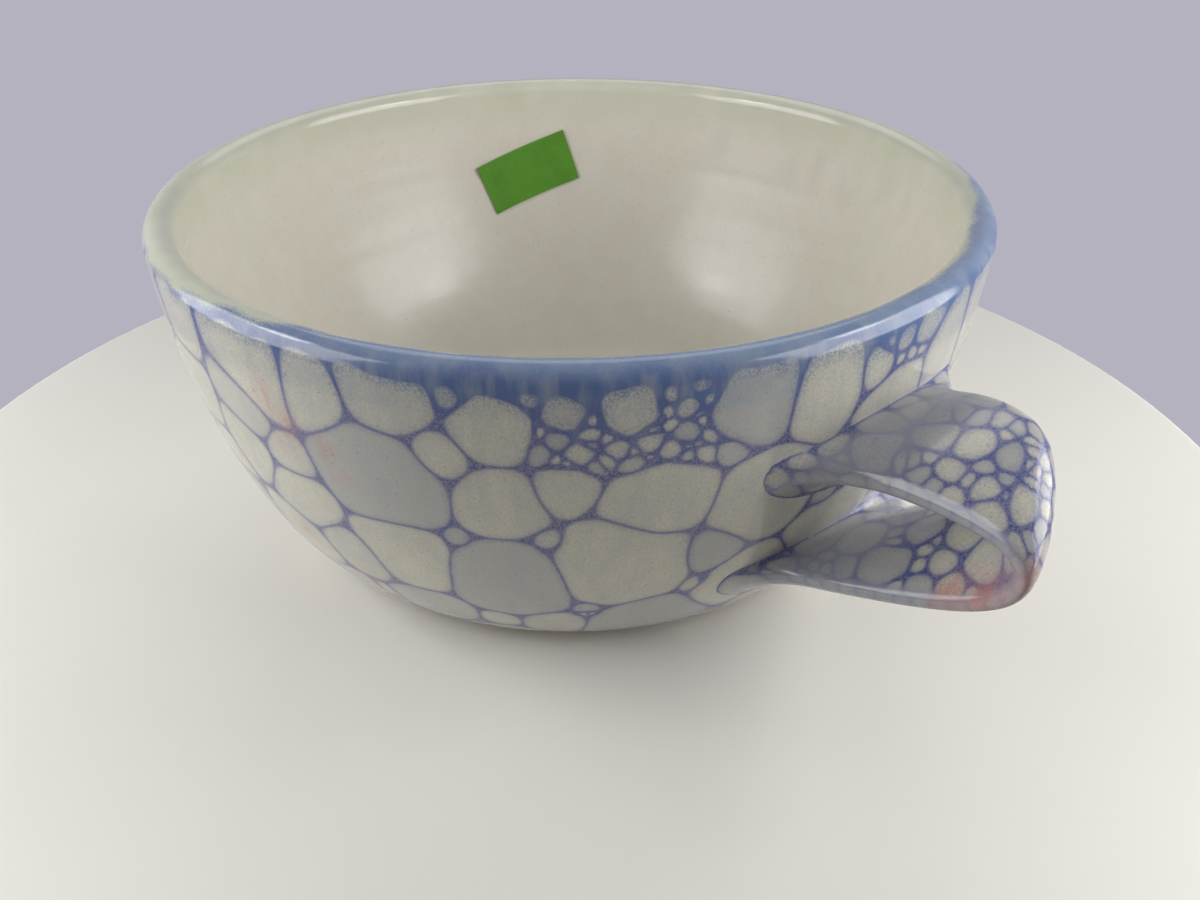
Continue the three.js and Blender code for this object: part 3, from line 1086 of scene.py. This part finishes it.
BLUSH_STROKES = (
    # (degrees round from the handle, height, degrees wide, height of the stroke)
    (-75, 57, 1.6, 3.5),
    (-72.5, 53, 1.4, 3.5),
    (-67, 50.5, 1.6, 2.4),
    (-66, 45, 1.6, 1.8),
    (-75, 48.5, 0.8, 2.2),
    (-71, 17, 1.6, 1.6),
    (-80, 24, 1.4, 2.4),
)

# Ends of the red patch under the nose of the strap, in millimetres
NOSE_BLUSH = ((103.0, -13.0, 36.0), (112.5, -12.7, 45.0))

# Row of bubbles along the strap's near edge: shares of its length, degrees round its section, and radius
EDGE_SHARES = np.arange(0.12, 0.86, 0.03)
EDGE_DEGREES = 178
EDGE_RADIUS = 2.2

# Part of the wall that MAIN_BUBBLES fill: its middle and half width in degrees, and its lowest height
PLANNED_MIDDLE = -48
PLANNED_HALF = 42
PLANNED_FROM = 14

# Directions in degrees: the bluest part of the lip, the lowest blue below it, and the runs inside
BLUE_LIP = -10
BLUE_LOWEST = -45
RUNS = 85


def angle_gap(angle, other):
    return np.abs((angle - other + 180) % 360 - 180)


def degrees_round(places):
    """Direction of each place from the axis, in degrees from the handle."""
    return np.degrees(np.arctan2(places[:, 1], places[:, 0]))


def off_spots(angle, height, spots):
    """Squared distance of each place from the nearest spot, in half widths and half heights of it."""
    distances = [
        (angle_gap(angle, degrees) / wide) ** 2 + ((height - level) / tall) ** 2
        for degrees, level, wide, tall in spots
    ]
    return np.min(distances, axis=0)


def off_line(points, ends):
    """Distance of points from the straight line between two ends."""
    first, last = (np.array(end) for end in ends)
    share = np.clip((points - first) @ (last - first) / np.sum((last - first) ** 2), 0, 1)
    return np.linalg.norm(points - first - share[:, None] * (last - first), axis=1)


def lengths_past_lip(mesh, section):
    """Millimetres from the top of the outside wall to each point, along the section."""
    return (stored(mesh, "along") - section.wall_end) / MM


def upright_streaks(places):
    """Slow noise drawn out along the upright, from about -1 to 1 at each place."""
    return patchy(np.column_stack([places[:, :2], 0.2 * places[:, 2]]), 6.0, 5.0)


def wall_bubbles(places, past_lip, seed):
    """Bubbles over the outside: large ones, with small ones between them in drifts."""
    outer = past_lip < 1
    places, past_lip = places[outer], past_lip[outer]
    angle = degrees_round(places)
    height = places[:, 2]
    bubbles = Bubbles(seed)
    for degrees, level, radius in MAIN_BUBBLES:
        apart = np.hypot(angle_gap(angle, degrees) * 1.3, height - level)
        bubbles.drop(places[np.argmin(apart)], radius)
    planned = (angle_gap(angle, PLANNED_MIDDLE) < PLANNED_HALF) & (height > PLANNED_FROM)
    largest = np.interp(past_lip, (-40, -12, -4, -1, 0), (11, 8, 5, 2, 0))
    bubbles.scatter(places, np.where(planned, 0, largest), np.arange(11, 3.5, -0.6), 900, 0.84)
    drifting = ~planned & (patchy(places, 22.0) > 0.2)
    drifting |= off_spots(angle, height, DRIFTS) < 1
    small = np.where(drifting & (past_lip < -0.5), 2.2, 0)
    bubbles.scatter(places, small, np.arange(2.2, 0.5, -0.2), 5000, 0.86)
    bubbles.spread_over_layers(places)
    return bubbles


def lip_tint(past_lip, streak):
    """Share of green tint in the lining glaze, most at the lip."""
    return np.clip(np.interp(past_lip, (1, 4, 8, 16), (0.9, 0.7, 0.35, 0)) * (1 + 0.5 * streak), 0, 1)


def paint_bubbles(mesh, places, bubbles):
    """Stores how far each point lies from the bubbles of each layer, and returns its bubble's shade."""
    look = settings().glaze
    distances, owner = bubbles.field(wavy(places, look.bend / MM, look.bend_span / MM, look.seed))
    for name, values in zip(LAYERS, distances):
        store(mesh, name, values)
    store(mesh, "rounding", np.minimum(look.corner * bubbles.radii[owner], look.largest_corner / MM))
    return bubbles.shades[owner]


def paint_outside(mesh, places, past_lip, bubbles):
    """Stores the numbers that colour the bubble glaze on the wall or the rim."""
    shade = paint_bubbles(mesh, places, bubbles)
    angle, height = degrees_round(places), places[:, 2]
    streak = upright_streaks(places)
    facing = smooth(100, 36, angle_gap(angle, BLUE_LIP))
    towards = 0.4 + 0.6 * facing
    edge = past_lip + streak
    band = np.interp(edge, (-14, -7, -3, -1, 2, 4, 6), (0, 0.15, 0.45, 0.85, 0.8, 0.5, 0.1))
    depth = -1.4 + 1.2 * np.exp(-((angle_gap(angle, BLUE_LOWEST) / 16) ** 2))
    drifts = 0.3 * np.exp(-off_spots(angle, height, DRIFTS))
    blush = 0.55 * np.exp(-off_spots(angle, height, BLUSH_STROKES))
    store(mesh, "shade", shade)
    store(mesh, "dye", np.clip(band * towards * (1 + 0.3 * streak) + drifts, 0, 1))
    store(mesh, "wash", np.clip(0.8 * smooth(0.2, 3.0, edge) * towards, 0, 1))
    store(mesh, "blush", blush)
    store(mesh, "inside", smooth(-1.0 + 4.2 * facing, 2.4 + 3.8 * facing, edge))
    store(mesh, "ceiling", np.minimum(-depth - edge, Bubbles.farthest))
    store(mesh, "lip", lip_tint(past_lip, streak))


def strap_bubbles(places, surface, above, drift):
    """Bubbles over the strap: the planned ones, a row along its near edge, small above, large inside."""
    bubbles = Bubbles(settings().glaze.seed + 1)
    rows, ring = surface.shape[:2]
    near_edge = [(share, EDGE_DEGREES, EDGE_RADIUS) for share in EDGE_SHARES]
    for share, degrees, radius in (*STRAP_BUBBLES, *near_edge):
        spot = surface[round(share * (rows - 1)), round(degrees / 360 * ring) % ring] / MM
        bubbles.drop(places[np.argmin(np.linalg.norm(places[:, :3] - spot, axis=1))], radius)
    bubbles.scatter(places, 6.5 - 3.0 * above, np.arange(6.5, 2.4, -0.5), 400, 0.86)
    bubbles.scatter(places, np.where(drift > 0.0, 1.6 * above, 0.0), (1.6, 1.3, 1.0), 1500, 0.92)
    bubbles.spread_over_layers(places)
    return bubbles


def paint_handle(mesh, surface, sides, off_wall, seam):
    """Stores the numbers that colour the strap's bubble glaze, with a blue line along its seam and
    painted shade on the faces turned down and towards the bowl.
    """
    places = places_of(mesh)
    points, outward = places[:, :3], places[:, 3:] / Bubbles.facing_weight
    above = smooth(-0.2, 0.5, outward[:, 2] + 0.6 * outward[:, 0])
    drift = patchy(places, 12.0, 3.0)
    shade = paint_bubbles(mesh, places, strap_bubbles(places, surface, above, drift))
    edges = smooth(0.88, 0.97, np.abs(sides)) * np.where(sides < 0, 0.9, 0.4)
    joint = 0.92 * smooth(18, 9, off_wall / MM) * above
    # Faces turned down and towards the bowl take a share of the grey wash as painted shade; on the side
    # edges and at the joints the wash is smooth glaze.
    wash = np.maximum(np.maximum(edges, joint), 0.35 * (1 - above))
    from_seam = np.full(len(places), Bubbles.farthest)
    for spot in seam / MM:
        from_seam = np.minimum(from_seam, np.linalg.norm(points - spot, axis=1))
    # Faces turned down and towards the bowl are pushed towards the grey cell colour: painted shade.
    store(mesh, "shade", np.clip(shade + 0.25 * (1 - above), 0, 1))
    store(mesh, "dye", np.clip(0.12 * above * (1 + drift), 0, 1))
    store(mesh, "wash", wash * smooth(0.8, 4.0, off_wall / MM))
    store(mesh, "blush", 0.85 * np.exp(-((off_line(points, NOSE_BLUSH) / 3.6) ** 2)))
    store(mesh, "ceiling", from_seam)


# Operators


class BowlOperator:
    """Shared part of the operators that make the pieces."""

    bl_options = {"REGISTER", "UNDO"}

    @property
    def section(self):
        return Section(settings().bowl)


class SOUP_OT_clay(BowlOperator, bpy.types.Operator):
    """Turn the bare clay bowl with its foot, and finish the clay under the glaze"""

    bl_idname = "soup.clay"
    bl_label = "Clay Bowl"

    rows = 120
    base_rows = 12
    columns = 192

    def execute(self, context):
        shape = settings().bowl
        look = settings().glaze
        section = self.section
        groups = shared_groups(look)
        bare = material_once("bare_clay", fired_clay, look.clay, groups)
        slip = material_once("joining_slip", fired_clay, look.slip, groups)
        bevel = np.linspace(0, math.pi / 2, 6)
        corner = np.column_stack([np.sin(bevel) - 1, 1 - np.cos(bevel)]) * shape.foot_bevel
        corner += (shape.foot_radius, 0)
        base = np.linspace(0, corner[0, 0], self.base_rows, endpoint=False)
        under = np.column_stack([base, np.zeros(self.base_rows)])
        lengths = np.linspace(0, section.total, self.rows)
        profile = np.concatenate([under, corner, section.at(lengths)])
        lengths = np.concatenate([np.zeros(len(under) + len(corner)), lengths])
        piece = turned_piece("clay_bowl", profile, lengths, np.zeros(len(profile)), self.columns, bare)
        keep_piece(piece, ["bowl_body"])
        for node, material in (
            ("handle_strap", bare),
            ("upper_joint_slip", slip),
            ("lower_joint_slip", slip),
        ):
            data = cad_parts[node].data
            data.materials.clear()
            data.materials.append(material)
        return {"FINISHED"}


class SOUP_OT_lining(BowlOperator, bpy.types.Operator):
    """Pour the warm white glaze inside"""

    bl_idname = "soup.lining"
    bl_label = "Lining"

    rows = 150
    columns = 256

    def execute(self, context):
        look = settings().glaze
        section = self.section
        groups = shared_groups(look)
        material = material_once("poured_lining_glaze", lining_glaze, look, groups)
        start = section.lip_end + look.band_inside
        profile, lengths, rings = coat_section(section, start, section.total, self.rows, look)
        piece = turned_piece("lining", profile, lengths, rings, self.columns, material)
        mesh = piece.data
        places = places_of(mesh)
        past_lip = lengths_past_lip(mesh, section)
        below = past_lip - (start - section.wall_end) / MM
        streak = upright_streaks(places)
        where = smooth(45, 20, angle_gap(degrees_round(places), RUNS))
        runs = smooth(-0.1, 0.5, streak) * smooth(0, 4, below) * smooth(16, 8, below) * where
        store(mesh, "runs", runs)
        store(mesh, "lip", lip_tint(past_lip, streak))
        keep_piece(piece, ["liner_glaze"])
        return {"FINISHED"}


class SOUP_OT_outside(BowlOperator, bpy.types.Operator):
    """Coat the outside wall and the lip in bubble glaze"""

    bl_idname = "soup.outside"
    bl_label = "Outside and Rim"

    wall_rows = 110
    band_rows = 40
    columns = 640
    ring_share = 0.4

    def coat(self, name, material, start, end, rows, bead=False):
        """A turned coat of glaze with low throwing rings."""
        look = settings().glaze
        profile, lengths, rings = coat_section(self.section, start, end, rows, look, bead)
        return turned_piece(name, profile, lengths, self.ring_share * rings, self.columns, material)

    def execute(self, context):
        look = settings().glaze
        section = self.section
        groups = shared_groups(look)
        bubble = material_once("burst_bubble_glaze", bubble_glaze, groups)
        rim = material_once("dipped_lip_glaze", rim_glaze, look, groups)
        band_start = section.wall_end - look.band_outside
        band_end = section.lip_end + look.band_inside
        wall = self.coat("wall_glaze", bubble, look.bare, band_start, self.wall_rows, bead=True)
        band = self.coat("rim_band", rim, band_start, band_end, self.band_rows)
        meshes = (wall.data, band.data)
        places = [turned_places(mesh, section) for mesh in meshes]
        past_lip = [lengths_past_lip(mesh, section) for mesh in meshes]
        bubbles = wall_bubbles(np.vstack(places), np.concatenate(past_lip), look.seed)
        for coat in zip(meshes, places, past_lip):
            paint_outside(*coat, bubbles)
        keep_piece(wall, ["outer_glaze"])
        keep_piece(band, ["rim_glaze"])
        return {"FINISHED"}


class SOUP_OT_handle(BowlOperator, bpy.types.Operator):
    """Glaze the pulled strap and smear its ends onto the wall"""

    bl_idname = "soup.handle"
    bl_label = "Strap Handle"

    fine_steps = 900
    rows = 260
    ring = 200
    crowding = 0.6

    def trimmed(self, section, points, facing):
        """Rows of the strap's surface, smeared at its joints, from just inside the wall's glaze."""
        look = settings().glaze
        shape = settings().handle
        apart, outward = section.beside_wall(points)
        near = np.clip(1 - (apart - look.gap - look.coat) / shape.fillet_reach, 0, 1)
        smear = (1 - np.sqrt(1 - near**2)) * (1 - shape.crease * smooth(0.2, 0.8, facing[..., 2]))
        sideways = facing - outward * np.sum(facing * outward, axis=-1)[..., None]
        points = points + sideways * (shape.fillet * smear)[..., None]
        free = section.beside_wall(points)[0] > look.gap
        rows = np.arange(self.fine_steps)
        share = np.linspace(0, 1, self.rows)
        share = share - self.crowding * np.sin(2 * math.pi * share) / (2 * math.pi)
        result = np.empty((self.rows, self.ring, 3))
        for column in range(self.ring):
            clear = rows[free[:, column]]
            wanted = clear[0] - 1 + share * (clear[-1] - clear[0] + 2)
            for axis in range(3):
                result[:, column, axis] = np.interp(wanted, rows, points[:, column, axis])
        return result

    def seam(self, section, points):
        """Points at which the strap's glaze comes out of the wall's."""
        look = settings().glaze
        clear = section.beside_wall(points)[0] > look.gap + look.coat
        first = clear.argmax(axis=0)
        last = self.rows - 1 - clear[::-1].argmax(axis=0)
        columns = np.arange(self.ring)
        return np.concatenate([points[first, columns], points[last, columns]])

    def faces(self):
        """Quads along the strap, and a fan to one point at each end."""
        ring, count = self.ring, self.rows * self.ring
        beside = [(i, (i + 1) % ring) for i in range(ring)]
        faces = []
        for row in range(0, count - ring, ring):
            faces += [(row + i, row + j, row + j + ring, row + i + ring) for i, j in beside]
        for i, j in beside:
            faces.append((count, j, i))
            faces.append((count + 1, count - ring + i, count - ring + j))
        return faces

    def execute(self, context):
        look = settings().glaze
        section = self.section
        strap = Strap(settings().handle, section)
        groups = shared_groups(look)
        material = material_once("burst_bubble_glaze", bubble_glaze, groups)
        surface, facing = strap.sweep(self.fine_steps, self.ring, look.gap + look.coat)
        points = self.trimmed(section, surface, facing)
        ends = [points[0].mean(axis=0), points[-1].mean(axis=0)]
        vertices = np.concatenate([points.reshape(-1, 3), ends])
        piece = smooth_piece("strap_glaze", vertices, self.faces(), material, 60)
        angle = np.linspace(0, 2 * math.pi, self.ring, endpoint=False)
        sides = np.append(np.tile(np.cos(angle), self.rows), (0, 0))
        off_wall = section.beside_wall(vertices)[0]
        paint_handle(piece.data, surface, sides, off_wall, self.seam(section, points))
        keep_piece(piece, ["handle_glaze"])
        return {"FINISHED"}


class SOUP_OT_label(BowlOperator, bpy.types.Operator):
    """Stick the blank paper label inside the wall"""

    bl_idname = "soup.label"
    bl_label = "Paper Label"

    columns = 40
    rows = 20

    def execute(self, context):
        shape = settings().label
        look = settings().glaze
        section = self.section
        material = material_once("green_paper", dyed_paper, shape.paint)
        across, down = np.meshgrid(
            np.linspace(-0.5, 0.5, self.columns + 1), np.linspace(-0.5, 0.5, self.rows + 1)
        )
        lift = shape.curl * smooth(0.25, 0.5, across) * smooth(0.2, 0.5, -down)
        x, y = across * shape.width, down * shape.height
        around = x * math.cos(shape.tilt) - y * math.sin(shape.tilt)
        fall = x * math.sin(shape.tilt) + y * math.cos(shape.tilt)
        lengths = section.lip_end + shape.drop + fall.ravel()
        off = look.gap + look.coat + shape.gap + lift.ravel()
        azimuth = shape.azimuth + around.ravel() / (settings().bowl.rim_radius - settings().bowl.wall)
        layers = []
        for grow in (off, off + shape.paper):
            flat = section.at(lengths, grow)
            layers.append(
                np.column_stack([flat[:, 0] * np.cos(azimuth), flat[:, 0] * np.sin(azimuth), flat[:, 1]])
            )
        layer = len(layers[0])
        index = np.arange(layer).reshape(self.rows + 1, self.columns + 1)
        faces = []
        for a, b, c, d in zip(
            index[:-1, :-1].ravel(), index[:-1, 1:].ravel(), index[1:, 1:].ravel(), index[1:, :-1].ravel()
        ):
            faces.append((d, c, b, a))
            faces.append((a + layer, b + layer, c + layer, d + layer))
        border = np.concatenate([index[0, :-1], index[:-1, -1], index[-1, :0:-1], index[:0:-1, 0]])
        for a, b in zip(border, np.roll(border, -1)):
            faces.append((a, b, b + layer, a + layer))
        piece = smooth_piece("blank_label", np.concatenate(layers), faces, material, 40)
        keep_piece(piece, ["paper_label"])
        return {"FINISHED"}


class SOUP_OT_stage(BowlOperator, bpy.types.Operator):
    """Set the white table, the light and the camera"""

    bl_idname = "soup.stage"
    bl_label = "Stage"

    lamps = (
        # (name, strength, width, height, degrees round, distance, level), in metres
        ("back_lamp", "lamp_back", 0.6, 0.4, 141, 0.5, 0.6),
        ("left_panel", "lamp_left", 0.35, 0.3, -116, 0.35, 0.17),
        ("right_panel", "lamp_right", 0.35, 0.3, 36, 0.35, 0.17),
        ("left_spot", "lamp_spot", 0.06, 0.04, -116, 0.21, 0.22),
        ("right_spot", "lamp_spot", 0.06, 0.04, 36, 0.21, 0.22),
    )
    target = Vector((0, 0, 40 * MM))
    table_edge = 2.5 * MM
    table_columns = 128

    def table(self, look):
        """Round table with a soft edge."""
        radius, thick, bend = look.table_radius, look.table_height, self.table_edge
        arc = np.linspace(0, math.pi / 2, 8)
        edge = np.column_stack([radius - bend + bend * np.sin(arc), -bend + bend * np.cos(arc)])
        under = np.array([[radius, -thick], [0, -thick]])
        profile = np.concatenate([[[0, 0]], edge, under])[::-1]
        paint = material_once("white_table", painted_board, look.white, 0.5)
        still = np.zeros(len(profile))
        return turned_piece("white_table", profile, still, still, self.table_columns, paint)

    def sky(self, look):
        """Even light from all round, with the backdrop's colour where the camera looks past the table."""
        world = bpy.data.worlds.new("studio")
        bpy.context.scene.world = world
        world.use_nodes = True
        world.node_tree.nodes.clear()
        wire = Wiring(world.node_tree)
        light = wire.add("ShaderNodeBackground", {"Color": (1, 1, 1, 1), "Strength": look.ambient})
        seen = wire.add("ShaderNodeBackground", {"Color": opaque(look.backdrop), "Strength": 1.0})
        path = wire.add("ShaderNodeLightPath").outputs
        looks = wire.math("MAXIMUM", path["Is Camera Ray"], path["Is Glossy Ray"])
        looks = wire.math("MAXIMUM", looks, path["Is Transmission Ray"])
        both = wire.add("ShaderNodeMixShader", {0: looks, 1: light, 2: seen})
        wire.add("ShaderNodeOutputWorld", {"Surface": both})

    def lamp(self, name, power, width, height, azimuth, distance, level):
        """A soft rectangular lamp that faces the bowl."""
        data = bpy.data.lights.new(name, "AREA")
        data.shape = "RECTANGLE"
        data.size, data.size_y = width, height
        data.energy = power
        lamp = add_object(name, data)
        turned = math.radians(azimuth)
        lamp.location = (distance * math.cos(turned), distance * math.sin(turned), level)
        lamp.rotation_euler = (self.target - lamp.location).to_track_quat("-Z", "Y").to_euler()

    def execute(self, context):
        look = settings().stage
        self.table(look)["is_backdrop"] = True
        self.sky(look)
        for name, strength, *place in self.lamps:
            self.lamp(name, getattr(look, strength), *place)
        data = bpy.data.cameras.new("camera")
        data.lens = look.lens
        data.sensor_width = 36
        data.clip_start = 1 * MM
        camera = add_object("camera", data)
        distance = look.camera_distance
        camera.location = (
            distance * math.cos(look.camera_azimuth),
            distance * math.sin(look.camera_azimuth),
            look.camera_height,
        )
        camera.rotation_euler = (look.camera_pitch, 0, look.camera_yaw)
        context.scene.camera = camera
        context.scene.view_settings.view_transform = "Standard"
        return {"FINISHED"}


# Panel and registration


class SOUP_PT_panel(bpy.types.Panel):
    """Sizes and pieces of the soup bowl"""

    bl_label = "Soup Bowl"
    bl_space_type = "VIEW_3D"
    bl_region_type = "UI"
    bl_category = "Bowl"

    def draw(self, context):
        chosen = context.scene.soup_bowl
        for group in (chosen.bowl, chosen.handle, chosen.glaze, chosen.label, chosen.stage):
            box = self.layout.box()
            for name in group.__annotations__:
                box.prop(group, name)
        for operator in OPERATORS:
            self.layout.operator(operator.bl_idname)


OPERATORS = (
    SOUP_OT_stage,
    SOUP_OT_clay,
    SOUP_OT_lining,
    SOUP_OT_outside,
    SOUP_OT_handle,
    SOUP_OT_label,
)
GROUPS = (BowlShape, HandleShape, GlazeLook, LabelShape, StageLook, BowlSettings)


def register():
    for entry in (*GROUPS, *OPERATORS, SOUP_PT_panel):
        bpy.utils.register_class(entry)
    bpy.types.Scene.soup_bowl = PointerProperty(type=BowlSettings)


def unregister():
    del bpy.types.Scene.soup_bowl
    for entry in reversed((*GROUPS, *OPERATORS, SOUP_PT_panel)):
        bpy.utils.unregister_class(entry)


def main():
    register()
    bpy.ops.soup.stage()
    bpy.ops.soup.clay()
    bpy.ops.soup.lining()
    bpy.ops.soup.outside()
    bpy.ops.soup.handle()
    bpy.ops.soup.label()
    boxes = {"cad": cad_box, "visual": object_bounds()}
    {name: [list(corner) for corner in box] for name, box in boxes.items()}


if __name__ == "__main__":
    main()
